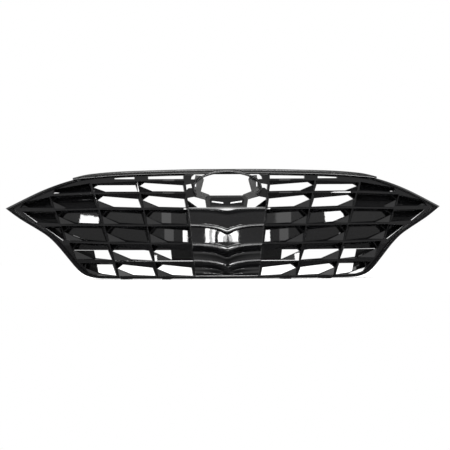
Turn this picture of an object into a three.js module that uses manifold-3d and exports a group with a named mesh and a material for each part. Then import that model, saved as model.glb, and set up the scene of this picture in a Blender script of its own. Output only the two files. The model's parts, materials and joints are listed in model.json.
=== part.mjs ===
// Front grille of a small saloon car: a gloss black jewel lattice in a swept wing outline.
// Units are mm. +Z is up, the front faces -Y, X runs left to right and X = 0 is the middle.
import * as THREE from "three";
import { mergeVertices } from "three/addons/utils/BufferGeometryUtils.js";
import Module from "manifold-3d";

const wasm = await Module();
wasm.setup();

// ---------- driving dimensions ----------
const HALF_WIDTH = 700;
const SWEEP_BACK = 220;
const SWEEP_POWER = 2.2;
const CROWN_DEPTH = 12;
const CROWN_MIDDLE = 175;
const LATTICE_DEPTH = 34;
const TRIM_DEPTH = 15.5;
const FLANGE_FRONT = 16;
const GAP = 0.4;
const RIB_HALF = 1.7;
const VANE_FACE = 6.5;
const PANEL_THICKNESS = 3;
const SCREW_HEAD = 5.5;
const SCREW_SHANK = 2;
const TAB_THICKNESS = 2.6;

// Heights of the vane rows at ribs A, B, C and D, top row first.
const ROWS = [
  [321, 321, 320, 292],
  [281, 281, 281, 274],
  [230, 230, 230.5, 226.5],
  [177, 177, 178.5, 178],
  [119, 119, 122, 126],
  [61, 61, 62, 64],
];
const ROW_X = [120, 255, 395, 540];
const BASE_ROW = 12;
const CLOSED_BOTTOM = 94;

// Slanted rib lines: half width at the base and growth per mm of height.
const RIB_A = [101.4, 0.101];
const RIB_B = [219, 0.206];
const RIB_C = [341.3, 0.287];
const RIB_D = [463, 0.371];
const CORNER_EDGE = [402, 0.2];

// Right-hand half of the outline, from the middle out to the tip.
const STRIP_TOP = [[0, 352.5], [116, 352], [275, 348], [363, 344], [427, 338], [456, 333], [487, 325]];
const UPPER_EDGE = [[0, 340], [116, 339.6], [275, 336], [363, 332], [427, 326.5], [487, 319],
  [583, 285], [HALF_WIDTH, 226.6]];
const LOWER_EDGE = [[0, 3], [200, 3], [330, 3], [405, 4], [436, 9], [457, 18], [475, 33], [493, 54.4],
  [507.6, 72.5], [538.6, 110], [566.5, 137], [599, 159], [655.5, 193.6], [HALF_WIDTH, 226.6]];
const UPPER_INSIDE = [[0, 4], [420, 5], [520, 11], [HALF_WIDTH, 11]];
const LOWER_INSIDE = [[0, 8], [400, 9], [480, 14], [HALF_WIDTH, 15]];
const TIP_MITRE = 25;

// Emblem collar: an open oval arch.
const COLLAR_CENTER_Z = 293;
const COLLAR_HALF_WIDTH = 112;
const COLLAR_HALF_HEIGHT = 55;
const COLLAR_BAND = 8;
const COLLAR_END = 25;

// ---------- surface and lines ----------
const skinY = (x, z) =>
  SWEEP_BACK * Math.pow(Math.abs(x) / HALF_WIDTH, SWEEP_POWER) +
  CROWN_DEPTH * Math.pow((z - CROWN_MIDDLE) / CROWN_MIDDLE, 2);
const skinSlope = (x) =>
  Math.atan((SWEEP_BACK * SWEEP_POWER * Math.pow(Math.abs(x) / HALF_WIDTH, SWEEP_POWER - 1)) / HALF_WIDTH);
const ribX = (rib, z) => rib[0] + rib[1] * z;

function along(table, x) {
  let i = 0;
  while (i < table.length - 2 && x > table[i + 1][0]) i += 1;
  const [x0, v0] = table[i];
  const [x1, v1] = table[i + 1];
  return v0 + ((v1 - v0) * (x - x0)) / (x1 - x0);
}

const rowZ = (row, x) => along(ROW_X.map((at, i) => [at, ROWS[row][i]]), x);

// Points of half an edge, evenly spaced from the middle out to the tip.
function halfEdge(points, count) {
  const curve = new THREE.SplineCurve(points.map(([x, z]) => new THREE.Vector2(x, z)));
  return curve.getSpacedPoints(count);
}

// The same edge moved inwards by a width that changes along it.
function insideOf(edge, widthAt, side, mitre) {
  return edge.map((p, i) => {
    const a = edge[Math.max(0, i - 1)];
    const b = edge[Math.min(edge.length - 1, i + 1)];
    if (i === edge.length - 1) return new THREE.Vector2(p.x - mitre, p.y);
    const dir = b.clone().sub(a).normalize();
    const width = widthAt(p.x);
    const x = p.x + side * -dir.y * width;
    const z = p.y + side * dir.x * width;
    return new THREE.Vector2(i === 0 ? 0 : x, z);
  });
}

const mirrored = (half) => {
  const left = half.slice(1).reverse().map((p) => new THREE.Vector2(-p.x, p.y));
  return [...left, ...half];
};

// ---------- solids ----------
function geometryOf(positions, triangles) {
  const geometry = new THREE.BufferGeometry();
  geometry.setAttribute("position", new THREE.Float32BufferAttribute(positions.flat(), 3));
  geometry.setIndex(triangles.flat());
  return geometry;
}

function toSolid(geometry) {
  const bare = geometry.clone();
  bare.deleteAttribute("normal");
  bare.deleteAttribute("uv");
  const merged = mergeVertices(bare, 1e-4);
  return new wasm.Manifold(new wasm.Mesh({
    numProp: 3,
    vertProperties: new Float32Array(merged.attributes.position.array),
    triVerts: new Uint32Array(merged.index.array),
  }));
}

function toGeometry(solid) {
  const mesh = solid.getMesh();
  const geometry = new THREE.BufferGeometry();
  const points = [];
  for (let i = 0; i < mesh.vertProperties.length; i += mesh.numProp) {
    points.push(...mesh.vertProperties.slice(i, i + 3));
  }
  geometry.setAttribute("position", new THREE.Float32BufferAttribute(points, 3));
  geometry.setIndex(Array.from(mesh.triVerts));
  return geometry;
}

// A closed slab that follows the skin between two depths behind it.
function skinSlab(x0, x1, columns, front, back) {
  const heights = [-20, 50, 110, 175, 240, 300, 365];
  const points = [];
  const index = (i, j, side) => (i * heights.length + j) * 2 + side;
  for (let i = 0; i <= columns; i += 1) {
    const x = x0 + ((x1 - x0) * i) / columns;
    for (const z of heights) {
      const y = skinY(x, z);
      points.push([x, y + front, z], [x, y + back, z]);
    }
  }
  const triangles = [];
  const quad = (a, b, c, d) => triangles.push([a, b, c], [a, c, d]);
  const last = heights.length - 1;
  for (let i = 0; i < columns; i += 1) {
    for (let j = 0; j < last; j += 1) {
      quad(index(i, j, 0), index(i + 1, j, 0), index(i + 1, j + 1, 0), index(i, j + 1, 0));
      quad(index(i, j, 1), index(i, j + 1, 1), index(i + 1, j + 1, 1), index(i + 1, j, 1));
    }
    quad(index(i, 0, 0), index(i, 0, 1), index(i + 1, 0, 1), index(i + 1, 0, 0));
    quad(index(i, last, 0), index(i + 1, last, 0), index(i + 1, last, 1), index(i, last, 1));
  }
  for (let j = 0; j < last; j += 1) {
    quad(index(0, j, 0), index(0, j + 1, 0), index(0, j + 1, 1), index(0, j, 1));
    quad(index(columns, j, 0), index(columns, j, 1), index(columns, j + 1, 1), index(columns, j + 1, 0));
  }
  return toSolid(geometryOf(points, triangles));
}

// A straight prism along Y from an outline in X and Z.
function prismGeometry(outline, y0, y1, holes = []) {
  const shape = new THREE.Shape(outline.map((p) => new THREE.Vector2(p[0] ?? p.x, p[1] ?? p.y)));
  for (const hole of holes) {
    shape.holes.push(new THREE.Path(hole.map((p) => new THREE.Vector2(p[0], p[1]))));
  }
  const geometry = new THREE.ExtrudeGeometry(shape, { depth: y1 - y0, bevelEnabled: false });
  geometry.rotateX(Math.PI / 2);
  geometry.translate(0, y1, 0);
  return geometry;
}

const prism = (outline, y0 = -60, y1 = 330) => toSolid(prismGeometry(outline, y0, y1));

// A band between two edges of equal point count, with a profile of [across, depth] points.
function bandGeometry(outer, inner, profile) {
  const points = [];
  const count = profile.length;
  outer.forEach((p, i) => {
    for (const [across, depth] of profile) {
      const at = p.clone().lerp(inner[i], across);
      points.push([at.x, skinY(at.x, at.y) + depth, at.y]);
    }
  });
  const triangles = [];
  for (let i = 0; i < outer.length - 1; i += 1) {
    for (let j = 0; j < count; j += 1) {
      const next = (j + 1) % count;
      const a = i * count + j;
      const b = i * count + next;
      triangles.push([a, b, b + count], [a, b + count, a + count]);
    }
  }
  const caps = THREE.ShapeUtils.triangulateShape(profile.map(([u, v]) => new THREE.Vector2(u * 20, v)), []);
  const end = (outer.length - 1) * count;
  for (const [a, b, c] of caps) {
    triangles.push([a, c, b], [end + a, end + b, end + c]);
  }
  return outward(geometryOf(points, triangles));
}

// Turns a closed geometry face outwards.
function outward(geometry) {
  const position = geometry.getAttribute("position");
  const index = geometry.index.array;
  const [a, b, c] = [new THREE.Vector3(), new THREE.Vector3(), new THREE.Vector3()];
  let volume = 0;
  for (let i = 0; i < index.length; i += 3) {
    a.fromBufferAttribute(position, index[i]);
    b.fromBufferAttribute(position, index[i + 1]);
    c.fromBufferAttribute(position, index[i + 2]);
    volume += a.dot(b.cross(c));
  }
  if (volume < 0) {
    for (let i = 0; i < index.length; i += 3) {
      [index[i + 1], index[i + 2]] = [index[i + 2], index[i + 1]];
    }
  }
  return geometry;
}

function mirrorX(geometry) {
  const copy = geometry.clone();
  copy.scale(-1, 1, 1);
  if (!copy.index) return outward(mergeVertices(copy, 1e-4));
  return outward(copy);
}

// ---------- outline of the grille ----------
const upperHalf = halfEdge(UPPER_EDGE, 26);
const lowerHalf = halfEdge(LOWER_EDGE, 34);
const upperInside = insideOf(upperHalf, (x) => along(UPPER_INSIDE, x), -1, TIP_MITRE);
const lowerInside = insideOf(lowerHalf, (x) => along(LOWER_INSIDE, x), 1, TIP_MITRE);

// Closed outline of the right-hand half, moved in by the same width all round.
function insetOutline(widthScale, extra, mitre) {
  const upper = insideOf(upperHalf, (x) => along(UPPER_INSIDE, x) * widthScale + extra, -1, mitre);
  const lower = insideOf(lowerHalf, (x) => along(LOWER_INSIDE, x) * widthScale + extra, 1, mitre);
  return [...lower, ...upper.slice(0, -1).reverse()];
}

const insidePrism = prism(insetOutline(1, GAP, TIP_MITRE + 1.5));
const flangePrism = prism(insetOutline(0, 2.5, 7));
const panelPrism = prism(insetOutline(0, 5, 14));

// ---------- lattice ----------
// Rings of a pocket from front to back: three of four corners, then three of five.
// Shallow facets lie between the fourth ring, the lip, and the one before it.
function pocket(rings) {
  const points = rings.flat().map(([x, z, depth]) => [x, skinY(x, z) + depth, z]);
  const triangles = [[0, 1, 2], [0, 2, 3]];
  const wall = (start, count) => {
    for (let i = 0; i < count; i += 1) {
      const a = start + i;
      const b = start + ((i + 1) % count);
      triangles.push([a, a + count, b + count], [a, b + count, b]);
    }
  };
  wall(0, 4);
  wall(4, 4);
  triangles.push([8, 13, 14], [8, 14, 9], [9, 14, 15], [9, 15, 10], [10, 15, 16], [10, 16, 11]);
  triangles.push([11, 16, 12], [11, 12, 8], [8, 12, 13]);
  wall(12, 5);
  wall(17, 5);
  triangles.push([22, 26, 25], [22, 25, 24], [22, 24, 23]);
  return toSolid(outward(geometryOf(points, triangles)));
}

// Moves points a little towards their middle, and to another depth.
function towardsMiddle(points, distance, depthOf) {
  const cx = points.reduce((sum, p) => sum + p[0], 0) / points.length;
  const cz = points.reduce((sum, p) => sum + p[1], 0) / points.length;
  return points.map(([x, z, depth], i) => {
    const length = Math.hypot(cx - x, cz - z);
    const share = (Array.isArray(distance) ? distance[i] : distance) / length;
    return [x + (cx - x) * share, z + (cz - z) * share, depthOf(depth)];
  });
}

// Lip corners of a cell: outer tip, outer top, inner top, inner bottom, outer bottom.
function cellLip(corners, look) {
  const [outerTop, innerTop, innerBottom, outerBottom] = corners;
  const height = (outerTop[1] + innerTop[1] - innerBottom[1] - outerBottom[1]) / 2 + VANE_FACE;
  const width = (outerTop[0] + outerBottom[0] - innerTop[0] - innerBottom[0]) / 2;
  const topIn = Math.min(0.5 * height, 0.2 * width);
  const bottomIn = Math.min(0.9 * height, 0.45 * width);
  const rise = look.rise * Math.min(1, height / 50);
  const middle = (outerTop[1] + outerBottom[1]) / 2 + look.tipUp * height;
  const share = (middle - outerBottom[1]) / (outerTop[1] - outerBottom[1]);
  const edgeX = outerBottom[0] + (outerTop[0] - outerBottom[0]) * share;
  return [
    [edgeX - look.tipIn, middle, look.tipDepth],
    [outerTop[0] - topIn, outerTop[1] - look.outerDrop * height, look.topDepth[0]],
    [innerTop[0] + look.innerIn, innerTop[1] - look.innerDrop * height, look.topDepth[1]],
    [innerBottom[0] + look.innerIn, innerBottom[1] + rise, 3],
    [outerBottom[0] - bottomIn, outerBottom[1] + rise, 10],
  ];
}

const OPEN_LOOK = { tipUp: 0.04, tipIn: 2.5, tipDepth: 8.5, outerDrop: 0.13, innerDrop: 0.34, innerIn: 4,
  rise: 0.6, topDepth: [8, 5] };
const CLOSED_LOOK = { ...OPEN_LOOK, outerDrop: 0.08, innerDrop: 0.22, topDepth: [14, 20] };
const WING_LOOK = { ...OPEN_LOOK, tipUp: 0.06, outerDrop: 0.08, innerDrop: 0.12, topDepth: [12, 14] };
const LIP_INSET = [0.7, 0.7, 0.4, 0.4, 3.2];
const LIP_STEP = 3.2;
const WALL_INSET = [0.8, 0.9, 0.7, 0.7, 3.4];
const BACK_DEPTH = LATTICE_DEPTH + 1.5;
// Chamfers of the front edges: [across, up] for outer top, inner top, inner bottom, outer bottom.
const CHAMFER = [[0.9, 0.8], [-0.9, 0.8], [-0.9, -1.8], [0.9, -1.8]];
const CHAMFER_DEPTH = [1, 1, 1.8, 1.8];

// A cell as a solid to cut away. With a margin it is the room left for an insert.
function cellPocket([corners, look], margin = 0) {
  const lip = cellLip(corners, look);
  const step = towardsMiddle(lip, LIP_INSET, (depth) => depth + LIP_STEP);
  const back = towardsMiddle(lip, WALL_INSET, () => BACK_DEPTH);
  const front = corners.map(([x, z], i) => [x, z, CHAMFER_DEPTH[i]]);
  const face = corners.map(([x, z], i) => [x + CHAMFER[i][0], z + CHAMFER[i][1], 0]);
  const open = face.map(([x, z]) => [x, z, -10]);
  if (margin === 0) return pocket([open, face, front, lip, step, back]);
  const forward = (depth) => depth - margin - 0.3;
  const shrunk = towardsMiddle(front, margin, forward);
  const nearer = (distance) => shrunk.map(([x, z, depth]) => [x, z, depth - distance]);
  return pocket([nearer(9), nearer(1), shrunk, towardsMiddle(lip, margin, forward),
    towardsMiddle(step, margin, forward), towardsMiddle(back, margin, (depth) => depth)]);
}

// The deep dark notch in the outer top corner of a cell, behind the vane.
function cornerNotch([corners, look]) {
  const outerTop = corners[0];
  const [tip, top] = cellLip(corners, look);
  const at = (x, z, depth) => [x, skinY(x, z) + depth, z];
  const points = [at(outerTop[0], outerTop[1], -2), at(outerTop[0] - 0.6, outerTop[1] - 0.6, 28),
    at(tip[0], tip[1] + 1, 4.5), at(top[0] - 3, top[1] + 0.2, 5)];
  return toSolid(outward(geometryOf(points, [[0, 1, 2], [0, 2, 3], [0, 3, 1], [1, 3, 2]])));
}

function cellCorners(outer, inner, top, bottom) {
  const corner = (rib, side, row, drop) => {
    const level = row < ROWS.length ? rowZ(row, ribX(rib, rowZ(row, ribX(rib, 170)))) : BASE_ROW;
    const z = level - drop;
    return [ribX(rib, z) + side * RIB_HALF, z];
  };
  return [
    corner(outer, -1, top, VANE_FACE),
    corner(inner, 1, top, VANE_FACE),
    corner(inner, 1, bottom, 0),
    corner(outer, -1, bottom, 0),
  ];
}

// Corners of the cells that run into the surround, on the right-hand side.
const EDGE_CELLS = [
  [[545, 288.5], [434, 308], [425, 281.5], [551, 275.5]],
  [[500, 118], [378, 113], [361, 63], [477, 66]],
  [[466, 52], [359, 54], [347, 12.5], [433, 15]],
  [[644, 246], [562, 264], [549, 231], [655, 230]],
  [[648, 217], [544, 217], [531, 181], [601, 184]],
  [[578, 168], [526, 170], [512, 129], [519, 126]],
];

// Cells with an insert: depth of its face at the bottom and at the top, behind the skin.
const FLAT_INSERT = [24, 30];
const WING_INSERT = [6, 31];

// Each cell is [corners, look, insert]; a cell without an insert is open or shows the flat panel.
function latticeCells() {
  const cells = [];
  const insertOf = (row) => (row === 2 || row === 3 ? FLAT_INSERT : null);
  const lookOf = (row) => (row === 2 || row === 3 ? CLOSED_LOOK : OPEN_LOOK);
  for (let row = 0; row < 6; row += 1) {
    cells.push([cellCorners(RIB_B, RIB_A, row, row + 1), lookOf(row), insertOf(row)]);
    cells.push([cellCorners(RIB_C, RIB_B, row, row + 1), lookOf(row), insertOf(row)]);
  }
  for (let row = 1; row < 4; row += 1) {
    cells.push([cellCorners(RIB_D, RIB_C, row, row + 1), WING_LOOK, insertOf(row) ?? WING_INSERT]);
  }
  const edgeInsert = [WING_INSERT, null, null, WING_INSERT, WING_INSERT, null];
  EDGE_CELLS.forEach((corners, i) => cells.push([corners, WING_LOOK, edgeInsert[i]]));
  return cells;
}

// The narrow slots between the top vane row and the surround.
function topSlots() {
  const rail = 3;
  return [[138, 250], [293, 356]].map(([near, far]) => {
    const points = insideOf(upperHalf, (x) => along(UPPER_INSIDE, x) + rail, -1, TIP_MITRE);
    const top = points.filter((p) => p.x > near && p.x < far).map((p) => [p.x, p.y]);
    const edge = points.map((p) => [p.x, p.y]);
    const outline = [[near, 321.5], [far, 321.3], [far, along(edge, far)], ...top.reverse(),
      [near, along(edge, near)]];
    return prism(outline);
  });
}

// Short vane ends and the gusset that reach inwards from rib A towards the emblem.
function centerStubs() {
  const slab = skinSlab(60, 160, 3, 3, LATTICE_DEPTH).intersect(insidePrism);
  const stub = (outline) => slab.intersect(prism(outline));
  const solid = [
    stub([[136, 321], [103, 320], [106, 307], [134, 302]]),
    stub([[133, 281], [122, 292], [108, 293], [99, 284], [97, 266], [128, 260]]),
    stub([[138, 335.2], [104, 335.2], [112, 328], [114, 320], [138, 320]]),
  ];
  const at = (x, z, depth) => [x, skinY(x, z) + depth, z];
  const foot = ribX(RIB_A, 230);
  const points = [at(foot, 230.2, 3), at(foot, 230.2, LATTICE_DEPTH), at(foot + 3, 256, LATTICE_DEPTH),
    at(92, 230.2, LATTICE_DEPTH)];
  solid.push(toSolid(outward(geometryOf(points, [[0, 1, 2], [0, 2, 3], [0, 3, 1], [1, 3, 2]]))));
  return solid;
}

function latticeSolid() {
  const sidePrism = prism([[ribX(RIB_A, 0) - RIB_HALF, 0], [720, 0], [720, 360],
    [ribX(RIB_A, 360) - RIB_HALF, 360]]);
  let body = skinSlab(80, 720, 22, 0, LATTICE_DEPTH).intersect(insidePrism);
  body = body.add(skinSlab(80, 720, 22, FLANGE_FRONT, LATTICE_DEPTH).intersect(flangePrism));
  body = body.intersect(sidePrism);
  for (const stub of centerStubs()) body = body.add(stub);
  for (const cell of latticeCells()) body = body.subtract(cellPocket(cell)).subtract(cornerNotch(cell));
  for (const slot of topSlots()) body = body.subtract(slot);
  return body;
}

// ---------- backing panels behind the closed cells ----------
function panel(region) {
  const slab = skinSlab(60, 720, 22, LATTICE_DEPTH + GAP, LATTICE_DEPTH + GAP + PANEL_THICKNESS);
  return slab.intersect(panelPrism).intersect(prism(region));
}

const JOINT_STRIP = 6;
const INSERT_MARGIN = 1;

// A leaning face plate that fills one cell and is joined to the panel along its top.
function insertPlate(cell) {
  const [corners, , [low, high]] = cell;
  const [outerTop, innerTop, innerBottom, outerBottom] = corners;
  const line = (a, b, x) => a[1] + ((b[1] - a[1]) * (x - a[0])) / (b[0] - a[0]);
  const [, lipOuter, lipInner] = cellLip(corners, cell[1]);
  const back = LATTICE_DEPTH + GAP + 1;
  const near = Math.min(innerTop[0], innerBottom[0]) - 4;
  const far = Math.max(outerTop[0], outerBottom[0]) + 4;
  const columns = 5;
  const points = [];
  for (let i = 0; i <= columns; i += 1) {
    const x = near + ((far - near) * i) / columns;
    const bottom = line(innerBottom, outerBottom, x);
    const height = Math.max(6, line(innerTop, outerTop, x) - bottom);
    const strip = Math.max(3, line(lipInner, lipOuter, x) - bottom - JOINT_STRIP);
    const faceAt = (up) => Math.min(low + ((high - low) * up) / height, back);
    const section = [[faceAt(-3), -3], [faceAt(height), height], [back, height], [back, strip],
      [Math.min(faceAt(strip) + PANEL_THICKNESS, back - 0.1), strip], [faceAt(-3) + PANEL_THICKNESS, -3]];
    for (const [depth, up] of section) points.push([x, skinY(x, bottom + up) + depth, bottom + up]);
  }
  const triangles = [];
  for (let i = 0; i < columns; i += 1) {
    for (let j = 0; j < 6; j += 1) {
      const a = i * 6 + j;
      const b = i * 6 + ((j + 1) % 6);
      triangles.push([a, b, b + 6], [a, b + 6, a + 6]);
    }
  }
  const cap = [[0, 1, 4], [1, 3, 4], [1, 2, 3], [0, 4, 5]];
  const end = columns * 6;
  for (const [a, b, c] of cap) triangles.push([a, c, b], [end + a, end + b, end + c]);
  return toSolid(outward(geometryOf(points, triangles))).intersect(cellPocket(cell, INSERT_MARGIN));
}

function withInserts(base, isMine) {
  const cells = latticeCells().filter((cell) => cell[2] && isMine(cell[0]));
  return cells.reduce((body, cell) => body.add(insertPlate(cell)), base);
}

const isWingCell = (corners) => corners[1][0] > 380;

function backingPanel() {
  const top = 226;
  const split = 178;
  const base = panel([
    [ribX(RIB_A, 58) - 1, 58], [split - 4, 58], [split, CLOSED_BOTTOM], [ribX(RIB_C, 94), CLOSED_BOTTOM],
    [ribX(RIB_C, top), top], [ribX(RIB_A, top) - 1, top],
  ]);
  return withInserts(base, (corners) => !isWingCell(corners));
}

function wingPanel() {
  const base = panel([
    [ribX(RIB_C, CLOSED_BOTTOM) + 1, CLOSED_BOTTOM], [720, CLOSED_BOTTOM], [720, 345],
    [ribX(RIB_C, 345) + 1, 345],
  ]);
  return withInserts(base, isWingCell);
}

function cornerBaffle() {
  const top = CLOSED_BOTTOM - 1;
  return panel([[ribX(CORNER_EDGE, 0), 0], [720, 0], [720, top], [ribX(CORNER_EDGE, top), top]]);
}

// ---------- surround and top strip ----------
const SURROUND_PROFILE = [[0, TRIM_DEPTH], [0, 3], [0.1, -1], [0.3, -3], [0.68, -3], [0.74, 1], [1, 2],
  [1, TRIM_DEPTH]];

const upperSurround = () => bandGeometry(mirrored(upperHalf), mirrored(upperInside), SURROUND_PROFILE);

function lowerSurround() {
  const shift = (p, i, list) => (i === list.length - 1 ? new THREE.Vector2(p.x, p.y - GAP) : p);
  return bandGeometry(mirrored(lowerHalf.map(shift)), mirrored(lowerInside.map(shift)), SURROUND_PROFILE);
}

function collarOuterZ(x) {
  const share = Math.min(1, Math.abs(x) / (COLLAR_HALF_WIDTH + GAP));
  return COLLAR_CENTER_Z + (COLLAR_HALF_HEIGHT + GAP) * Math.sqrt(1 - share * share);
}

function topStrip() {
  const top = halfEdge(STRIP_TOP, 40);
  const edge = halfEdge(UPPER_EDGE, 80).map((p) => [p.x, p.y]);
  const bottom = top.map((p) => {
    const surround = along(edge, p.x) + GAP + 0.2;
    return new THREE.Vector2(p.x, Math.max(surround, collarOuterZ(p.x)));
  });
  const profile = [[0, LATTICE_DEPTH], [0, 1], [0.16, -3], [0.42, -4], [0.48, -2], [0.72, -2.5], [0.78, 0],
    [1, 0.5], [1, LATTICE_DEPTH]];
  return bandGeometry(mirrored(top), mirrored(bottom), profile);
}

// ---------- centre ----------
function emblemCollar() {
  const outer = [];
  const inner = [];
  const steps = 36;
  for (let i = 0; i <= steps; i += 1) {
    const angle = THREE.MathUtils.degToRad(-COLLAR_END + ((180 + 2 * COLLAR_END) * i) / steps);
    const at = (shrink) => new THREE.Vector2(
      (COLLAR_HALF_WIDTH - shrink) * Math.cos(angle),
      COLLAR_CENTER_Z + (COLLAR_HALF_HEIGHT - shrink) * Math.sin(angle),
    );
    outer.push(at(0));
    inner.push(at(COLLAR_BAND));
  }
  return bandGeometry(outer, inner, [[0, -3.6], [0, -8], [0.3, -10], [0.7, -10], [1, -7], [1, -3.6]]);
}

function emblemBracket() {
  const y = EMBLEM_BACK;
  const plate = prismGeometry([[98, 333], [76, 331], [71, 318], [81, 281], [55, 271], [48, 262], [61, 252],
    [97, 262], [112, 266], [116, 276], [109, 292], [113, 308], [100, 322]], y, y + 4,
    [[[96, 296], [100, 296], [100, 311], [96, 311]]]);
  return toSolid(plate).subtract(screwHole(EMBLEM_SCREW[0], y, EMBLEM_SCREW[1]));
}

// The smooth sensor cover: rows of [height, droop at the middle, depth] from top to bottom.
const COVER_LINES = [
  [229.6, 0, 6], [228.4, 0.4, 0], [226, 2.4, -2.4], [223.6, 4.4, -3.4], [219.6, 6.2, -1.1],
  [176.6, 17.4, -1], [172.6, 19.6, -5], [170.4, 22, -5], [167.6, 23, 1],
  [114, 13, -3.8], [110.8, 16.2, -7.8], [108.6, 19, -7.6], [91, 20, 12.5],
  [62, 15, -1], [58, 18.5, -4.2], [55.4, 20, -3.6], [40, 18, 10],
  [22, 7, 1], [BASE_ROW, 0, 2],
];
const NOSE_WIDTH = 0.32;
const COVER_BACK = 22;

// How much of the droop a place across the cover takes: all of it in the middle, none at the ribs.
function noseShare(u) {
  const end = Math.exp(-1 / NOSE_WIDTH);
  return (Math.exp(-Math.abs(u) / NOSE_WIDTH) - end) / (1 - end);
}

function centerCover() {
  const across = [-1, -0.68, -0.42, -0.24, -0.1, 0, 0.1, 0.24, 0.42, 0.68, 1];
  const points = [];
  const count = COVER_LINES.length;
  const index = (i, j, side) => (i * count + j) * 2 + side;
  for (const u of across) {
    for (const [height, droop, depth] of COVER_LINES) {
      const z = height - droop * noseShare(u);
      const x = u * (ribX(RIB_A, z) - RIB_HALF - GAP);
      points.push([x, skinY(x, z) + depth, z], [x, skinY(x, z) + COVER_BACK, z]);
    }
  }
  const triangles = [];
  const quad = (a, b, c, d) => triangles.push([a, b, c], [a, c, d]);
  const lastRow = count - 1;
  const lastColumn = across.length - 1;
  for (let i = 0; i < lastColumn; i += 1) {
    for (let j = 0; j < lastRow; j += 1) {
      quad(index(i, j, 0), index(i, j + 1, 0), index(i + 1, j + 1, 0), index(i + 1, j, 0));
      quad(index(i, j, 1), index(i + 1, j, 1), index(i + 1, j + 1, 1), index(i, j + 1, 1));
    }
    quad(index(i, 0, 0), index(i + 1, 0, 0), index(i + 1, 0, 1), index(i, 0, 1));
    quad(index(i, lastRow, 0), index(i, lastRow, 1), index(i + 1, lastRow, 1), index(i + 1, lastRow, 0));
  }
  for (let j = 0; j < lastRow; j += 1) {
    quad(index(0, j, 0), index(0, j, 1), index(0, j + 1, 1), index(0, j + 1, 0));
    quad(index(lastColumn, j, 0), index(lastColumn, j + 1, 0), index(lastColumn, j + 1, 1),
      index(lastColumn, j, 1));
  }
  return outward(geometryOf(points, triangles));
}

const EMBLEM_SCREW = [107, 272];
const EMBLEM_BACK = skinY(124, 330) + LATTICE_DEPTH + 1;
const HOUSING_OUTLINE = [[-58, 268], [-68, 255], [-64, 230.4], [64, 230.4], [68, 255], [58, 268]];

function cameraHousing() {
  const y = skinY(0, 250);
  const body = toSolid(prismGeometry(HOUSING_OUTLINE, y + 12, EMBLEM_BACK - GAP));
  const recess = toSolid(prismGeometry([[-50, 262], [-56, 254], [-53, 236], [53, 236], [56, 254], [50, 262]],
    y, y + 20));
  return body.subtract(recess);
}

function cameraFace() {
  const y = skinY(0, 250);
  return prismGeometry([[-49.5, 261.5], [-55.4, 254], [-52.4, 236.4], [52.4, 236.4], [55.4, 254],
    [49.5, 261.5]], y + 15, y + 19.6);
}

function cameraTrim() {
  const y = skinY(30, 246);
  return prismGeometry([[12, 242.5], [48, 247], [48, 251], [12, 246.5]], y + 11.6, y + 14.4);
}

function sensorBracket() {
  const y = skinY(0, 120) + COVER_BACK;
  const plate = prismGeometry([[-96, 200], [-96, 60], [96, 60], [96, 200]], y + 8, y + 11,
    [[[-60, 165], [60, 165], [60, 95], [-60, 95]]]);
  let body = toSolid(plate);
  for (const [x, z] of SENSOR_SCREWS) {
    const start = skinY(x, z) + COVER_BACK + 1.6;
    const boss = new THREE.CylinderGeometry(9, 9, y + 9 - start, 20);
    boss.translate(x, (start + y + 9) / 2, z);
    body = body.add(toSolid(boss)).subtract(screwHole(x, y, z));
  }
  return body;
}

const SENSOR_SCREWS = [[-78, 182], [78, 182], [-78, 78], [78, 78]];

// ---------- fixings ----------
function screwHole(x, y, z) {
  const hole = new THREE.CylinderGeometry(SCREW_SHANK + GAP, SCREW_SHANK + GAP, 40, 16);
  hole.translate(x, y, z);
  return toSolid(hole);
}

// A pan head screw with its head pointing back along +Y from the given point.
function screw(x, y, z, shank) {
  const head = SCREW_HEAD;
  const points = [[0, 0], [SCREW_SHANK, 0], [SCREW_SHANK, shank], [head, shank], [head, shank + 2.4],
    [head - 1.6, shank + 4], [2.6, shank + 4], [2.2, shank + 2.6], [0, shank + 2.6]];
  const geometry = new THREE.LatheGeometry(points.map(([r, h]) => new THREE.Vector2(r, h)), 20);
  geometry.translate(x, y, z);
  return geometry;
}

// Puts a tab built at the origin behind the grille, turned to sit square on the sweep.
function placeOnSweep(geometry, x, z, depth) {
  geometry.rotateZ(skinSlope(x));
  geometry.translate(x, skinY(x, z) + depth, z);
  return geometry;
}

const tabHole = (x, y, radius) => {
  const hole = new THREE.CylinderGeometry(radius, radius, 30, 20);
  hole.rotateX(Math.PI / 2);
  hole.translate(x, y, 0);
  return toSolid(hole);
};

function upperTab(x) {
  const leg = new THREE.BoxGeometry(44, 3, 8);
  leg.translate(0, 1.5 + 3, 0);
  const plate = new THREE.BoxGeometry(44, 38, 3);
  plate.translate(0, 19 + 3, 2.5);
  const body = toSolid(leg).add(toSolid(plate)).subtract(tabHole(0, 27, 4.5));
  return placeOnSweep(toGeometry(body), x, along(STRIP_TOP, x) - 5.5, LATTICE_DEPTH);
}

function lowerTab(x) {
  const plate = new THREE.BoxGeometry(26, 62, TAB_THICKNESS);
  plate.translate(0, 9, TAB_THICKNESS / 2);
  const leg = new THREE.BoxGeometry(26, 3, 14);
  leg.translate(0, 5.5, 7);
  const body = toSolid(leg).add(toSolid(plate));
  return placeOnSweep(toGeometry(body), x, 0, LATTICE_DEPTH);
}

const WING_BRACKET_DEPTH = LATTICE_DEPTH + PANEL_THICKNESS + 2.4;

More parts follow.
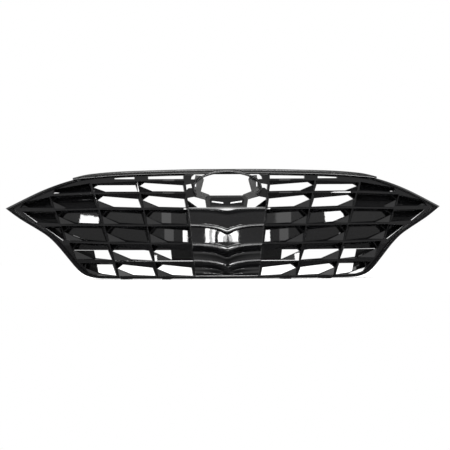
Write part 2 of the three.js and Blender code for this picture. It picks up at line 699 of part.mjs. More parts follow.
function wingBracket() {
  const foot = new THREE.BoxGeometry(54, 3, 34);
  foot.translate(0, 1.5, 0);
  const web = new THREE.BoxGeometry(4, 34, 34);
  web.translate(-25, 17, 0);
  const ear = new THREE.BoxGeometry(34, 4, 34);
  ear.translate(-44, 32, 0);
  const hole = new THREE.CylinderGeometry(5, 5, 20, 20);
  hole.translate(-46, 32, 0);
  const body = toSolid(foot).add(toSolid(web)).add(toSolid(ear)).subtract(toSolid(hole))
    .subtract(screwHole(0, 0, 0));
  return placeOnSweep(toGeometry(body), 596, 226, WING_BRACKET_DEPTH);
}

// ---------- materials and nodes ----------
const gloss = () => new THREE.MeshStandardMaterial({ color: 0x0b0b0d, roughness: 0.12, metalness: 0.1 });
const satin = () => new THREE.MeshStandardMaterial({ color: 0x1b1c1e, roughness: 0.45, metalness: 0.0 });
const plain = () => new THREE.MeshStandardMaterial({ color: 0x232426, roughness: 0.75, metalness: 0.0 });
const pale = () => new THREE.MeshStandardMaterial({ color: 0xb8babc, roughness: 0.4, metalness: 0.0 });
const steel = () => new THREE.MeshStandardMaterial({ color: 0x8d9096, roughness: 0.35, metalness: 0.9 });

const grille = new THREE.Group();
grille.name = "front_grille";

function addNode(name, shape, material) {
  const geometry = shape.isBufferGeometry ? shape : toGeometry(shape);
  const mesh = new THREE.Mesh(geometry, material);
  mesh.name = name;
  grille.add(mesh);
}

// Adds the right-hand piece and its mirror image on the left.
function addPair(name, shape, material) {
  const geometry = shape.isBufferGeometry ? shape : toGeometry(shape);
  addNode(name + "_right", geometry, material());
  addNode(name + "_left", mirrorX(geometry), material());
}

addPair("lattice", latticeSolid(), gloss);
addNode("surround_upper", upperSurround(), gloss());
addNode("surround_lower", lowerSurround(), gloss());
addNode("top_strip", topStrip(), satin());
addPair("backing_panel", backingPanel(), gloss);
addPair("wing_panel", wingPanel(), gloss);
addPair("corner_baffle", cornerBaffle(), gloss);

addNode("sensor_cover", centerCover(), gloss());
addNode("sensor_bracket", sensorBracket(), plain());
addNode("emblem_collar", emblemCollar(), gloss());
addPair("emblem_bracket", emblemBracket(), satin);
addNode("camera_housing", cameraHousing(), plain());
addNode("camera_face", cameraFace(), gloss());
addPair("camera_trim", cameraTrim(), pale);

const SENSOR_BACK = skinY(0, 120) + COVER_BACK;
SENSOR_SCREWS.forEach(([x, z], i) => {
  addNode("sensor_screw_" + (i + 1), screw(x, SENSOR_BACK + 5.4, z, 5.8), steel());
});
addPair("emblem_screw", screw(EMBLEM_SCREW[0], EMBLEM_BACK, EMBLEM_SCREW[1], 4.3), steel);

addPair("upper_tab_inner", upperTab(150), plain);
addPair("upper_tab_outer", upperTab(390), plain);
addPair("lower_tab_inner", lowerTab(191), plain);
addPair("lower_tab_outer", lowerTab(320), plain);
addPair("wing_bracket", wingBracket(), plain);
addPair("wing_screw", placeOnSweep(screw(0, 0, 0, 3.3), 596, 226, WING_BRACKET_DEPTH), steel);

// The origin sits under the middle of the bounding box, on the plane of the lower tabs.
const bounds = new THREE.Box3().setFromObject(grille, true);
grille.position.set(0, -(bounds.min.y + bounds.max.y) / 2, -bounds.min.z);

export default grille;
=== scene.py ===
import json
import math

import bmesh
import bpy
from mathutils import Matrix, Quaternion, Vector


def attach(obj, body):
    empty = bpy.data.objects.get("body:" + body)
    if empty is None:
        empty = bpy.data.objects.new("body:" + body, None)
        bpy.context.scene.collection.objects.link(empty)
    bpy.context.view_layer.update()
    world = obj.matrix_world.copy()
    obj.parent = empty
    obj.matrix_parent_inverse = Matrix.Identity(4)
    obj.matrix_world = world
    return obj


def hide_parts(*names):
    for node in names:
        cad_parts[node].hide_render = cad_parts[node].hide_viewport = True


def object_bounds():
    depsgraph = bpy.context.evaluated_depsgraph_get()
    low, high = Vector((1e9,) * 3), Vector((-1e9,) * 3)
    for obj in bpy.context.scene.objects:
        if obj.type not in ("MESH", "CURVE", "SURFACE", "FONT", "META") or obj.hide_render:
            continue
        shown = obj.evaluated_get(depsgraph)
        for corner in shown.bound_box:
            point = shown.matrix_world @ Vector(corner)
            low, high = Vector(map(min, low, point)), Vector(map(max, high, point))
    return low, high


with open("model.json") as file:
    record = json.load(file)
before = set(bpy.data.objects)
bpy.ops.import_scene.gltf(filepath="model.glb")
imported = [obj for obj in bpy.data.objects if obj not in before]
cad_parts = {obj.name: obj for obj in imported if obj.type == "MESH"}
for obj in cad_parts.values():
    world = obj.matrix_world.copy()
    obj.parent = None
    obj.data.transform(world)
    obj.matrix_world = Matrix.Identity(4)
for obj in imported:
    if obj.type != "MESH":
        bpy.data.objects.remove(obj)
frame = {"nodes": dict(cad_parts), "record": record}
cad_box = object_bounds()
nodes = frame["nodes"]

MM = 0.001

# ---------- the surface and the edges of the grille, in mm ----------
# The front surface is furthest forward in the middle of its width and height.
HALF_WIDTH = 700.0
SWEEP_BACK = 220.0
SWEEP_POWER = 2.2
CROWN_DEPTH = 12.0
CROWN_MIDDLE = 175.0
MODEL_SHIFT = -122.4496
GAP = 0.4
TRIM_DEPTH = 15.5
STRIP_DEPTH = 34.0
TIP_MITRE = 25.0
MITRE_MARGIN = 1.0
STRIP_LIFT = 0.2
# Each rib beside the middle cover leans outwards from its foot.
RIB_FOOT = 101.4
RIB_SLOPE = 0.101
COVER_MARGIN = 2.1

# Edges from the middle to the tip, as x and height.
STRIP_TOP = [(0, 352.5), (116, 352), (275, 348), (363, 344), (427, 338), (456, 333), (487, 325)]
UPPER_EDGE = [(0, 340), (116, 339.6), (275, 336), (363, 332), (427, 326.5), (487, 319),
              (583, 285), (HALF_WIDTH, 226.6)]
LOWER_EDGE = [(0, 3), (200, 3), (330, 3), (405, 4), (436, 9), (457, 18), (475, 33), (493, 54.4),
              (507.6, 72.5), (538.6, 110), (566.5, 137), (599, 159), (655.5, 193.6),
              (HALF_WIDTH, 226.6)]
# Width of each moulding by x.
UPPER_WIDTH = [(0, 4), (420, 5), (520, 11), (HALF_WIDTH, 11)]
LOWER_WIDTH = [(0, 8), (400, 9), (480, 14), (HALF_WIDTH, 15)]

COLLAR_CENTER_Z = 293.0
COLLAR_HALF_WIDTH = 112.0
COLLAR_HALF_HEIGHT = 55.0
COLLAR_BAND = 8.0
COLLAR_END = 25.0

# How finely each edge is divided.
FINE_STEPS = 3000
UPPER_STEPS = 190
LOWER_STEPS = 240
STRIP_STEPS = 260
STRIP_BASE_STEPS = 600
COLLAR_STEPS = 150


def skin_y(x, z):
    sweep = SWEEP_BACK * (abs(x) / HALF_WIDTH) ** SWEEP_POWER
    return sweep + CROWN_DEPTH * ((z - CROWN_MIDDLE) / CROWN_MIDDLE) ** 2


# A point at a depth behind the front surface, in metres.
def on_skin(x, z, depth):
    return Vector((x, skin_y(x, z) + depth + MODEL_SHIFT, z)) * MM


# The value of a table at x, on straight lines between its rows.
def along(table, x):
    i = 0
    while i < len(table) - 2 and x > table[i + 1][0]:
        i += 1
    (x0, v0), (x1, v1) = table[i], table[i + 1]
    return v0 + (v1 - v0) * (x - x0) / (x1 - x0)


# A smooth curve through all the points, at a share t of its way.
def spline_at(points, t):
    last = len(points) - 1
    place = last * t
    i = min(int(place), last - 1)
    w = place - i
    p0, p1 = points[max(0, i - 1)], points[i]
    p2, p3 = points[min(last, i + 1)], points[min(last, i + 2)]
    out = []
    for k in (0, 1):
        v0, v1 = (p2[k] - p0[k]) * 0.5, (p3[k] - p1[k]) * 0.5
        out.append((2 * p1[k] - 2 * p2[k] + v0 + v1) * w ** 3
                   + (-3 * p1[k] + 3 * p2[k] - 2 * v0 - v1) * w ** 2 + v0 * w + p1[k])
    return tuple(out)


# The smooth edge from the middle to the tip, in equal steps.
def half_edge(points, count):
    fine = [spline_at(points, i / FINE_STEPS) for i in range(FINE_STEPS + 1)]
    run = [0.0]
    for a, b in zip(fine, fine[1:]):
        run.append(run[-1] + math.dist(a, b))
    out = []
    j = 0
    for i in range(count + 1):
        goal = run[-1] * i / count
        while j < len(run) - 2 and run[j + 1] < goal:
            j += 1
        share = (goal - run[j]) / (run[j + 1] - run[j])
        share = min(1.0, max(0.0, share))
        out.append(tuple(fine[j][k] + (fine[j + 1][k] - fine[j][k]) * share for k in (0, 1)))
    return out


# The inner line of a moulding, which runs straight into the mitre at the tip.
def inside_of(edge, width_at, side):
    line = []
    for i, p in enumerate(edge):
        a, b = edge[max(0, i - 1)], edge[min(len(edge) - 1, i + 1)]
        length = math.dist(a, b)
        dx, dz = (b[0] - a[0]) / length, (b[1] - a[1]) / length
        width = width_at(p[0])
        x, z = p[0] - side * dz * width, p[1] + side * dx * width
        line.append((0.0 if i == 0 else x, z))
    end = (edge[-1][0] - TIP_MITRE, edge[-1][1])
    held = [p for p in line[:-1] if p[0] <= end[0] - MITRE_MARGIN]
    start = held[-1]
    missing = len(line) - 1 - len(held)
    for k in range(missing):
        share = (k + 1) / (missing + 1)
        held.append(tuple(start[j] + (end[j] - start[j]) * share for j in (0, 1)))
    return held + [end]


def mirrored(half):
    return [(-x, z) for x, z in reversed(half[1:])] + list(half)


# ---------- meshes ----------
# Edges that turn by more degrees than this stay sharp.
SHARP_TURN = 38.0
COVER_SHARP_TURN = 44.0


def finish_mesh(name, mesh, sharp):
    bm = bmesh.new()
    bm.from_mesh(mesh)
    bmesh.ops.recalc_face_normals(bm, faces=bm.faces)
    bm.to_mesh(mesh)
    bm.free()
    mesh.shade_smooth()
    mesh.set_sharp_from_angle(angle=math.radians(sharp))
    obj = bpy.data.objects.new(name, mesh)
    bpy.context.scene.collection.objects.link(obj)
    return obj


# A closed moulding with one profile, or one that changes with x, between two lines.
# A profile point is a share of the way across and a depth behind the front surface.
def band(name, outer, inner, profile):
    profile_at = profile if callable(profile) else lambda x: profile
    count = len(profile_at(0.0))
    points = []
    for p, q in zip(outer, inner):
        for across, depth in profile_at(p[0]):
            x, z = p[0] + (q[0] - p[0]) * across, p[1] + (q[1] - p[1]) * across
            points.append(on_skin(x, z, depth))
    faces = []
    for i in range(len(outer) - 1):
        for j in range(count):
            a, b = i * count + j, i * count + (j + 1) % count
            faces.append((a, b, b + count, a + count))
    end = (len(outer) - 1) * count
    faces.append(tuple(reversed(range(count))))
    faces.append(tuple(range(end, end + count)))
    mesh = bpy.data.meshes.new(name)
    mesh.from_pydata(points, [], faces)
    return finish_mesh(name, mesh, SHARP_TURN)


def take_over(piece, node):
    piece.data.materials.clear()
    piece.data.materials.append(MATERIALS[slot_of[node]])
    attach(piece, "root")
    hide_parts(node)


UPPER_PROFILE = [
    (0, TRIM_DEPTH), (0, 5.2), (0.03, 3.9), (0.09, 2.8), (0.19, 1.4), (0.29, -0.1), (0.37, -1.3),
    (0.42, -1.9), (0.46, -2.2), (0.5, -2.2), (0.54, -1.4), (0.58, 0.0), (0.64, 0.3), (0.72, -0.6),
    (0.82, -1.3), (0.93, -0.8), (1, 1.0), (1, TRIM_DEPTH),
]
# Under the strip the moulding leans back, so that it mirrors the underside of the strip.
UPPER_MIDDLE_PROFILE = [
    (0, TRIM_DEPTH), (0, 9), (0.02, 8.6), (0.1, 7.8), (0.2, 6.8), (0.3, 5.8), (0.4, 4.8), (0.48, 4.0),
    (0.54, 3.3), (0.6, 2.6), (0.66, 1.9), (0.72, 1.2), (0.78, 0.4), (0.83, -0.2), (0.88, -0.8),
    (0.93, -1.2), (1, -0.6), (1, TRIM_DEPTH),
]
# The middle profile turns into the outer one between these places, where the strip ends.
STRIP_END = (450.0, 486.0)


def upper_profile(x):
    share = min(1.0, max(0.0, (abs(x) - STRIP_END[0]) / (STRIP_END[1] - STRIP_END[0])))
    share = share * share * (3 - 2 * share)
    return [(a + (b - a) * share, c + (d - c) * share)
            for (a, c), (b, d) in zip(UPPER_MIDDLE_PROFILE, UPPER_PROFILE)]


LOWER_PROFILE = [
    (0, TRIM_DEPTH), (0, 7), (0.03, 4.4), (0.09, 2.0), (0.17, 0.2), (0.28, -1.3), (0.45, -2.3),
    (0.62, -2.9), (0.69, -2.9), (0.73, -2.2), (0.765, -0.6), (0.80, 0.3), (0.84, 0.3), (0.88, -0.5),
    (0.93, -0.8), (0.97, 0.0), (1, 1.8), (1, TRIM_DEPTH),
]
STRIP_PROFILE = [
    (0, STRIP_DEPTH), (0, 2.5), (0.03, 0.8), (0.09, -0.9), (0.18, -2.4), (0.30, -3.3), (0.42, -3.8),
    (0.45, -3.5), (0.48, -2.6), (0.52, -2.4), (0.6, -2.6), (0.7, -2.6), (0.745, -2.2), (0.775, -1.0),
    (0.81, -0.6), (0.9, -0.5), (0.97, -0.1), (1, 0.7), (1, STRIP_DEPTH),
]
COLLAR_PROFILE = [
    (0, -3.6), (0, -4.8), (0.04, -6.2), (0.11, -7.6), (0.21, -8.8), (0.33, -9.6), (0.45, -10),
    (0.55, -10), (0.67, -9.6), (0.79, -8.8), (0.89, -7.6), (0.96, -6.2), (1, -4.8), (1, -3.6),
]


def upper_surround():
    half = half_edge(UPPER_EDGE, UPPER_STEPS)
    inner = inside_of(half, lambda x: along(UPPER_WIDTH, x), -1)
    return band("upper_moulding", mirrored(half), mirrored(inner), upper_profile)


def lower_surround():
    half = half_edge(LOWER_EDGE, LOWER_STEPS)
    inner = inside_of(half, lambda x: along(LOWER_WIDTH, x), 1)
    half[-1] = (half[-1][0], half[-1][1] - GAP)
    inner[-1] = (inner[-1][0], inner[-1][1] - GAP)
    return band("lower_moulding", mirrored(half), mirrored(inner), LOWER_PROFILE)


# The height above which the strip clears the collar.
def collar_top(x):
    share = min(1.0, abs(x) / (COLLAR_HALF_WIDTH + GAP))
    return COLLAR_CENTER_Z + (COLLAR_HALF_HEIGHT + GAP) * math.sqrt(1 - share * share)


def top_strip():
    top = half_edge(STRIP_TOP, STRIP_STEPS)
    edge = half_edge(UPPER_EDGE, STRIP_BASE_STEPS)
    bottom = [(x, max(along(edge, x) + GAP + STRIP_LIFT, collar_top(x))) for x, _ in top]
    return band("bonnet_edge_strip", mirrored(top), mirrored(bottom), STRIP_PROFILE)


def collar():
    outer, inner = [], []
    for i in range(COLLAR_STEPS + 1):
        angle = math.radians(-COLLAR_END + (180 + 2 * COLLAR_END) * i / COLLAR_STEPS)
        for shrink, line in ((0, outer), (COLLAR_BAND, inner)):
            line.append(((COLLAR_HALF_WIDTH - shrink) * math.cos(angle),
                         COLLAR_CENTER_Z + (COLLAR_HALF_HEIGHT - shrink) * math.sin(angle)))
    return band("emblem_ring", outer, inner, COLLAR_PROFILE)


# Rows of the middle cover: height at the ribs, droop at the middle, depth at the ribs and at the middle.
COVER_ROWS = [
    (229.6, 0, 6, 6), (229.4, 0.1, 3, 3.4), (228.9, 0.3, 0.4, 2), (228.2, 0.7, -1.2, 1),
    (227.2, 1.4, -2.2, -0.2), (226, 2.4, -2.8, -1.8), (224.8, 3.4, -3.1, -3.4), (223.8, 4.2, -3.2, -4.7),
    (222.8, 4.8, -3.0, -5.2), (221.6, 5.4, -2.3, -4.2), (220.4, 5.9, -1.5, -2.2), (218.8, 6.4, -1.1, -1.1),
    (212, 8, -1.0, -1.0), (200, 11.4, -1.0, -1.0), (190, 14.2, -1.0, -1.0), (181, 16.6, -1.0, -1.0),
    (177.2, 17.4, -1.1, -1.0), (176.2, 17.7, -1.9, -1.7), (175, 18.3, -3.5, -3.0), (173.8, 18.9, -4.9, -4.3),
    (172.8, 19.5, -5.4, -5.4), (172, 20.1, -5.5, -5.7), (171.2, 21, -5.5, -5.6), (170.4, 21.9, -5.0, -5.1),
    (169.6, 22.5, -3.2, -3.6), (168.8, 22.8, -0.6, -1.4), (168, 23, 1.9, 0.2), (167.2, 23, 2.8, 0.7),
    (165.6, 22.7, 2.67, 0.62), (150, 19.6, 1.26, -0.51), (135, 16.9, -0.1, -1.62),
    (121, 14.3, -1.37, -2.66), (115.2, 13.2, -1.9, -3.09), (114.2, 13.4, -2.8, -3.9),
    (113.2, 14, -4.7, -5.1), (112.2, 14.7, -6.4, -6.4), (111.2, 15.6, -7.4, -7.5), (110.4, 16.7, -7.8, -7.9),
    (109.5, 18, -7.9, -7.9), (108.7, 18.9, -7.6, -7.6), (107.4, 19.4, -6.2, -6.2), (104, 19.8, -2.2, -2.2),
    (99, 20, 3.5, 3.5), (94, 20, 9.2, 9.2), (92, 20, 11.4, 11.4), (90.6, 20, 12.3, 12.3),
    (89, 19.8, 12.1, 12.1), (82, 18.6, 8.6, 8.6), (74, 17.1, 4.6, 4.6), (66, 15.8, 0.8, 0.8),
    (63.2, 15.1, -0.4, -0.2), (62, 15.3, -2.0, -1.2), (60.6, 16.2, -3.9, -2.9), (59.4, 17.1, -4.5, -4.5),
    (58.4, 18, -4.6, -5.5), (57.4, 19, -4.6, -5.7), (56.4, 19.7, -4.1, -5.0), (55, 20, -3.0, -3.4),
    (50, 19.4, 1.2, 1.2), (43, 18.4, 7.2, 7.2), (41, 18.1, 9.2, 9.2), (39.6, 17.8, 9.8, 9.8),
    (38, 17, 9.4, 9.4), (30, 12.4, 5.4, 5.4), (23.5, 7.8, 1.8, 1.8), (21, 6.4, 1.0, 1.0),
    (18, 4, 1.0, 1.0), (12, 0, 2, 2),
]
COVER_BACK = 22.0
COVER_COLUMNS = 96
NOSE_WIDTH = 0.32
NOSE_ROUND = 0.06


# How much of the droop a place across the cover takes: all of it in the middle, none at the ribs.
def nose_share(u):
    away = (math.hypot(u, NOSE_ROUND) - NOSE_ROUND) / (math.hypot(1, NOSE_ROUND) - NOSE_ROUND)
    end = math.exp(-1 / NOSE_WIDTH)
    return (math.exp(-away / NOSE_WIDTH) - end) / (1 - end)


def cover_half_width(z):
    return RIB_FOOT + RIB_SLOPE * z - COVER_MARGIN


def middle_cover():
    rows = len(COVER_ROWS)
    points = []
    for i in range(COVER_COLUMNS + 1):
        u = -1 + 2 * i / COVER_COLUMNS
        share = nose_share(u)
        for height, droop, depth, middle_depth in COVER_ROWS:
            z = height - droop * share
            x = u * cover_half_width(z)
            points.append(on_skin(x, z, depth + (middle_depth - depth) * share))
    back = len(points)
    for i in range(COVER_COLUMNS + 1):
        u = -1 + 2 * i / COVER_COLUMNS
        for z in (COVER_ROWS[0][0], COVER_ROWS[-1][0]):
            points.append(on_skin(u * cover_half_width(z), z, COVER_BACK))
    faces = []
    for i in range(COVER_COLUMNS):
        for j in range(rows - 1):
            a = i * rows + j
            faces.append((a, a + 1, a + 1 + rows, a + rows))
        top, low = back + 2 * i, back + 2 * i + 1
        faces.append((top, low, low + 2, top + 2))
        faces.append((i * rows, i * rows + rows, top + 2, top))
        faces.append((i * rows + rows - 1, low, low + 2, (i + 1) * rows + rows - 1))
    last = COVER_COLUMNS * rows
    end = back + 2 * COVER_COLUMNS
    faces.append(tuple(range(rows)) + (back + 1, back))
    faces.append(tuple(range(last, last + rows)) + (end + 1, end))
    mesh = bpy.data.meshes.new("middle_cover")
    mesh.from_pydata(points, [], faces)
    return finish_mesh("middle_cover", mesh, COVER_SHARP_TURN)


# ---------- materials ----------
def new_material(name):
    material = bpy.data.materials.new(name)
    material.use_nodes = True
    tree = material.node_tree
    tree.nodes.clear()
    out = tree.nodes.new("ShaderNodeOutputMaterial")
    shader = tree.nodes.new("ShaderNodeBsdfPrincipled")
    tree.links.new(shader.outputs["BSDF"], out.inputs["Surface"])
    return material, tree, shader


def noise(tree, scale, detail=3.0):
    coords = tree.nodes.new("ShaderNodeTexCoord")
    node = tree.nodes.new("ShaderNodeTexNoise")
    node.inputs["Scale"].default_value = scale
    node.inputs["Detail"].default_value = detail
    tree.links.new(coords.outputs["Object"], node.inputs["Vector"])
    return node.outputs["Fac"]


def ramp(tree, value, low, high, start=0.0, end=1.0):
    node = tree.nodes.new("ShaderNodeMapRange")
    node.inputs["From Min"].default_value = start
    node.inputs["From Max"].default_value = end
    node.inputs["To Min"].default_value = low
    node.inputs["To Max"].default_value = high
    tree.links.new(value, node.inputs["Value"])
    return node.outputs["Result"]


def tint(tree, value, dark, light):
    node = tree.nodes.new("ShaderNodeMix")
    node.data_type = "RGBA"
    for key, colour in (("A", dark), ("B", light)):
        socket = next(s for s in node.inputs if s.name == key and s.type == "RGBA")
        if isinstance(colour, tuple):
            socket.default_value = (*colour, 1)
        else:
            tree.links.new(colour, socket)
    tree.links.new(value, node.inputs["Factor"])
    return next(s for s in node.outputs if s.type == "RGBA")


def bump(tree, shader, value, strength, distance):
    node = tree.nodes.new("ShaderNodeBump")
    node.inputs["Strength"].default_value = strength
    node.inputs["Distance"].default_value = distance
    tree.links.new(value, node.inputs["Height"])
    tree.links.new(node.outputs["Normal"], shader.inputs["Normal"])


# Worn edges: where the rounded normal leaves the true one, broken up by noise.
def edge_wear(tree, radius, scale):
    soft = tree.nodes.new("ShaderNodeBevel")
    soft.samples = 4
    soft.inputs["Radius"].default_value = radius
    geometry = tree.nodes.new("ShaderNodeNewGeometry")
    dot = tree.nodes.new("ShaderNodeVectorMath")
    dot.operation = "DOT_PRODUCT"
    tree.links.new(soft.outputs["Normal"], dot.inputs[0])
    tree.links.new(geometry.outputs["Normal"], dot.inputs[1])
    edge = ramp(tree, dot.outputs["Value"], low=1.0, high=0.0, start=0.82, end=0.98)
    grain = ramp(tree, noise(tree, scale, detail=5.0), low=0.0, high=1.0, start=0.42, end=0.62)
    both = tree.nodes.new("ShaderNodeMath")
    both.operation = "MULTIPLY"
    tree.links.new(edge, both.inputs[0])
    tree.links.new(grain, both.inputs[1])
    return both.outputs["Value"]


def gloss_black():
    material, tree, shader = new_material("gloss_black")
    cloud = noise(tree, scale=9.0, detail=4.0)
    base = tint(tree, cloud, dark=(0.0016, 0.0016, 0.0018), light=(0.0042, 0.0042, 0.0046))
    worn = edge_wear(tree, radius=0.0006, scale=220.0)
    colour = tint(tree, worn, dark=base, light=(0.012, 0.012, 0.0125))
    tree.links.new(colour, shader.inputs["Base Color"])
    smear = ramp(tree, noise(tree, scale=24.0, detail=5.0), low=0.015, high=0.055, start=0.35, end=0.7)
    rough = tree.nodes.new("ShaderNodeMath")
    rough.operation = "MULTIPLY_ADD"
    rough.inputs[1].default_value = 0.12
    tree.links.new(worn, rough.inputs[0])
    tree.links.new(smear, rough.inputs[2])
    tree.links.new(rough.outputs["Value"], shader.inputs["Roughness"])
    shader.inputs["IOR"].default_value = 1.5
    bump(tree, shader, noise(tree, scale=95.0, detail=2.0), strength=0.03, distance=0.0006)
    return material


# Moulded plastic of one grey level, black or pale.
def moulded_plastic(name, level, roughness, grain):
    material, tree, shader = new_material(name)
    cloud = noise(tree, scale=14.0, detail=4.0)
    base = tint(tree, cloud, dark=(level * 0.8,) * 3, light=(level * 1.25,) * 3)
    worn = edge_wear(tree, radius=0.0007, scale=160.0)
    colour = tint(tree, worn, dark=base, light=(level * 2.4,) * 3)
    tree.links.new(colour, shader.inputs["Base Color"])
    smear = noise(tree, scale=60.0, detail=4.0)
    tree.links.new(ramp(tree, smear, low=roughness - 0.06, high=roughness + 0.08),
                   shader.inputs["Roughness"])
    bump(tree, shader, noise(tree, scale=1400.0, detail=2.0), strength=grain, distance=0.0003)
    return material


def zinc_steel():
    material, tree, shader = new_material("zinc_steel")
    cloud = noise(tree, scale=300.0, detail=5.0)
    worn = edge_wear(tree, radius=0.0004, scale=400.0)
    base = tint(tree, cloud, dark=(0.45, 0.46, 0.48), light=(0.62, 0.62, 0.6))
    colour = tint(tree, worn, dark=base, light=(0.78, 0.78, 0.77))
    tree.links.new(colour, shader.inputs["Base Color"])
    tree.links.new(ramp(tree, cloud, low=0.25, high=0.42), shader.inputs["Roughness"])
    shader.inputs["Metallic"].default_value = 1.0
    bump(tree, shader, noise(tree, scale=2500.0, detail=3.0), strength=0.15, distance=0.0002)
    return material


MATERIALS = {
    "gloss_black": gloss_black(),
    "satin_black": moulded_plastic("satin_black", level=0.012, roughness=0.28, grain=0.08),
    "plain_black": moulded_plastic("plain_black", level=0.011, roughness=0.55, grain=0.35),
    # The pale grey of pale_trim is a painted highlight: it paints the white reflection lines off the black
    # gloss as a pale colour.
    "pale_trim": moulded_plastic("pale_trim", level=0.7, roughness=0.34, grain=0.08),
    "zinc_steel": zinc_steel(),
}

slot_of = {s["node"]: s["material_slot"] for s in frame["record"]["subparts"]}
for name, obj in nodes.items():
    obj.data.materials.clear()
    obj.data.materials.append(MATERIALS[slot_of[name]])


# Degrees of turn under which faces are joined, and over which edges are rounded.
FLAT_TURN = 0.6
ROUNDED_TURN = 18.0


def soften(obj, width, segments):
    flat = obj.modifiers.new("merge_flat_faces", "DECIMATE")
    flat.decimate_type = "DISSOLVE"
    flat.angle_limit = math.radians(FLAT_TURN)
    edge = obj.modifiers.new("edge_round", "BEVEL")
    edge.width = width
    edge.segments = segments
    edge.limit_method = "ANGLE"
    edge.angle_limit = math.radians(ROUNDED_TURN)


# Node, width of its rounded edges in mm, and steps across them.
ROUNDED_NODES = [
    ("lattice_left", 0.7, 2), ("lattice_right", 0.7, 2), ("camera_housing", 1.2, 2),
    ("emblem_bracket_left", 0.8, 2), ("emblem_bracket_right", 0.8, 2),
    ("camera_trim_left", 1.1, 3), ("camera_trim_right", 1.1, 3), ("camera_face", 0.6, 2),
]
for name, width, segments in ROUNDED_NODES:
    soften(nodes[name], width * MM, segments)

take_over(upper_surround(), "surround_upper")
take_over(lower_surround(), "surround_lower")
take_over(top_strip(), "top_strip")
take_over(collar(), "emblem_collar")
take_over(middle_cover(), "sensor_cover")


# ---------- stage ----------
FLOOR_SIZE = 3.2
FLOOR_GLOW = 0.35


# The floor is hidden from glossy rays, so that the undersides don't mirror it.
def floor():
    bpy.ops.mesh.primitive_plane_add(size=FLOOR_SIZE, location=(0, 0, 0))
    plane = bpy.context.object
    plane.name = "studio_floor"
    material, tree, shader = new_material("floor_pale")
    colour = tint(tree, noise(tree, scale=2.0), dark=(0.80, 0.80, 0.80), light=(0.84, 0.84, 0.84))
    tree.links.new(colour, shader.inputs["Base Color"])
    shader.inputs["Roughness"].default_value = 0.9
    shader.inputs["Emission Color"].default_value = (1, 1, 1, 1)
    shader.inputs["Emission Strength"].default_value = FLOOR_GLOW
    plane.data.materials.append(material)
    plane.visible_glossy = False


# Brightness of the room by the height of the direction, from straight down, -1, to straight up, 1.
ROOM_LEVELS = [(-0.30, 0.12), (-0.13, 0.28), (-0.05, 0.5), (0.20, 0.5), (0.32, 0.95), (0.60, 0.95),
               (0.74, 0.12)]


def studio_world():
    world = bpy.data.worlds.new("studio")
    bpy.context.scene.world = world
    world.use_nodes = True
    tree = world.node_tree
    tree.nodes.clear()
    out = tree.nodes.new("ShaderNodeOutputWorld")
    seen = tree.nodes.new("ShaderNodeBackground")
    seen.inputs["Color"].default_value = (1, 1, 1, 1)
    room = tree.nodes.new("ShaderNodeBackground")
    coords = tree.nodes.new("ShaderNodeTexCoord")
    dot = tree.nodes.new("ShaderNodeVectorMath")
    dot.operation = "DOT_PRODUCT"
    dot.inputs[1].default_value = (0.0, 0.0, 1.0)
    tree.links.new(coords.outputs["Generated"], dot.inputs[0])
    levels = tree.nodes.new("ShaderNodeValToRGB")
    stops = levels.color_ramp.elements
    while len(stops) < len(ROOM_LEVELS):
        stops.new(0.5)
    for stop, (height, level) in zip(stops, ROOM_LEVELS):
        stop.position = (height + 1) / 2
        stop.color = (level, level, level, 1)
    height_share = ramp(tree, dot.outputs["Value"], low=0.0, high=1.0, start=-1.0, end=1.0)
    tree.links.new(height_share, levels.inputs["Fac"])
    tree.links.new(levels.outputs["Color"], room.inputs["Color"])
    path = tree.nodes.new("ShaderNodeLightPath")
    mix = tree.nodes.new("ShaderNodeMixShader")
    tree.links.new(path.outputs["Is Camera Ray"], mix.inputs["Fac"])
    tree.links.new(room.outputs["Background"], mix.inputs[1])
    tree.links.new(seen.outputs["Background"], mix.inputs[2])
    tree.links.new(mix.outputs["Shader"], out.inputs["Surface"])


# A soft light seen in the gloss from an aim point; level is how bright it looks.
def softbox(name, aim, azimuth, elevation, distance, width, height, level):
    az, el = math.radians(azimuth), math.radians(elevation)
    away = Vector((math.sin(az) * math.cos(el), -math.cos(az) * math.cos(el), math.sin(el)))
    data = bpy.data.lights.new(name, "AREA")
    data.shape = "RECTANGLE"
    data.size = width
    data.size_y = height
    data.energy = level * math.pi * width * height
    light = bpy.data.objects.new(name, data)
    bpy.context.scene.collection.objects.link(light)
    light.location = Vector(aim) + away * distance
    light.rotation_euler = (-away).to_track_quat("-Z", "Y").to_euler()
    light.visible_camera = False


# Angles in degrees, distance in metres, lens in mm, and how many mm below the middle the camera aims.
CAMERA_AZIMUTH = -3.3
CAMERA_ELEVATION = 1.2
CAMERA_ROLL = -0.25
CAMERA_DISTANCE = 25.0
CAMERA_LENS = 624.0
CAMERA_DROP = 4.5


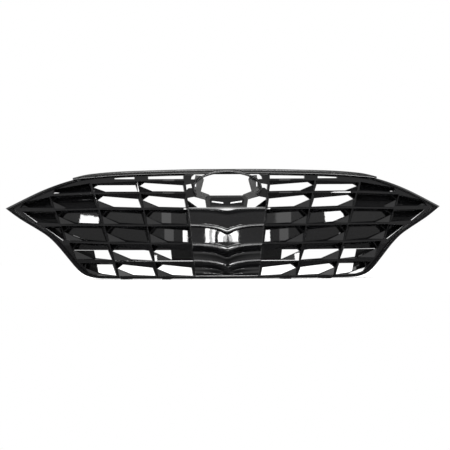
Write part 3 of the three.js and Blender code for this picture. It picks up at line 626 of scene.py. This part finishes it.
def camera():
    lo, hi = cad_box
    centre = (lo + hi) / 2 - Vector((0, 0, CAMERA_DROP * MM))
    azimuth, elevation = math.radians(CAMERA_AZIMUTH), math.radians(CAMERA_ELEVATION)
    roll = Quaternion((0, 0, 1), math.radians(CAMERA_ROLL))
    back = Vector((math.sin(azimuth) * math.cos(elevation), -math.cos(azimuth) * math.cos(elevation),
                   math.sin(elevation)))
    data = bpy.data.cameras.new("camera")
    data.sensor_width = 36.0
    data.lens = CAMERA_LENS
    cam = bpy.data.objects.new("camera", data)
    bpy.context.scene.collection.objects.link(cam)
    cam.location = centre + back * CAMERA_DISTANCE
    cam.rotation_mode = "QUATERNION"
    cam.rotation_quaternion = (-back).to_track_quat("-Z", "Y") @ roll
    data.clip_start = 0.05
    data.clip_end = 100.0
    bpy.context.scene.camera = cam


# Name, aim point, azimuth, elevation, distance, width and height in metres, and level.
STUDIO_LIGHTS = [
    ("overhead_softbox", (0, -0.12, 0.18), 0, 75, 3.0, 3.0, 0.8, 21.0),
    ("window_left", (-0.437, 0.0, 0.180), -39.5, 14.6, 0.45, 0.112, 0.034, 26.0),
    ("window_right", (0.355, -0.03, 0.190), 37.2, 15.1, 0.45, 0.11, 0.036, 26.0),
    ("top_left", (-0.55, 0.0, 0.28), -62, 40, 2.5, 0.5, 0.3, 6.0),
    ("top_right", (0.55, 0.0, 0.28), 62, 40, 2.5, 0.5, 0.3, 6.0),
    ("card_left", (-0.194, -0.08, 0.172), -13.6, 13.5, 1.2, 0.10, 0.30, 1.5),
    ("card_right", (0.188, -0.08, 0.172), 19.6, 13.5, 1.2, 0.14, 0.30, 1.5),
    ("tube_left", (-0.133, -0.09, 0.137), -7.4, 10.2, 0.6, 0.022, 0.072, 26.0),
    ("tube_right", (0.131, -0.09, 0.137), 13.7, 10.2, 0.6, 0.018, 0.072, 26.0),
]
# A row of upright lights, which the flat face of the middle cover mirrors as stripes.
SLAT_DISTANCE = 3.0
SLAT_HEIGHT = 0.25
SLAT_AIM_Y = -0.12
SLAT_AIM_Z = 0.468
# Middle and width of each upright slat light in metres, and level.
SLATS = [(-0.128, 0.070, 30.0), (-0.072, 0.030, 12.0), (-0.026, 0.050, 28.0), (0.084, 0.078, 30.0),
         (0.148, 0.042, 14.0), (0.212, 0.034, 16.0), (0.285, 0.092, 30.0)]

floor()
studio_world()
camera()
for light in STUDIO_LIGHTS:
    softbox(*light)
for i, (x, width, level) in enumerate(SLATS):
    softbox(f"slat_{i}", (x, SLAT_AIM_Y, SLAT_AIM_Z), 0, 0, SLAT_DISTANCE, width, SLAT_HEIGHT, level)

scene = bpy.context.scene
scene.view_settings.view_transform = "Standard"
scene.view_settings.look = "None"
scene.cycles.use_denoising = True
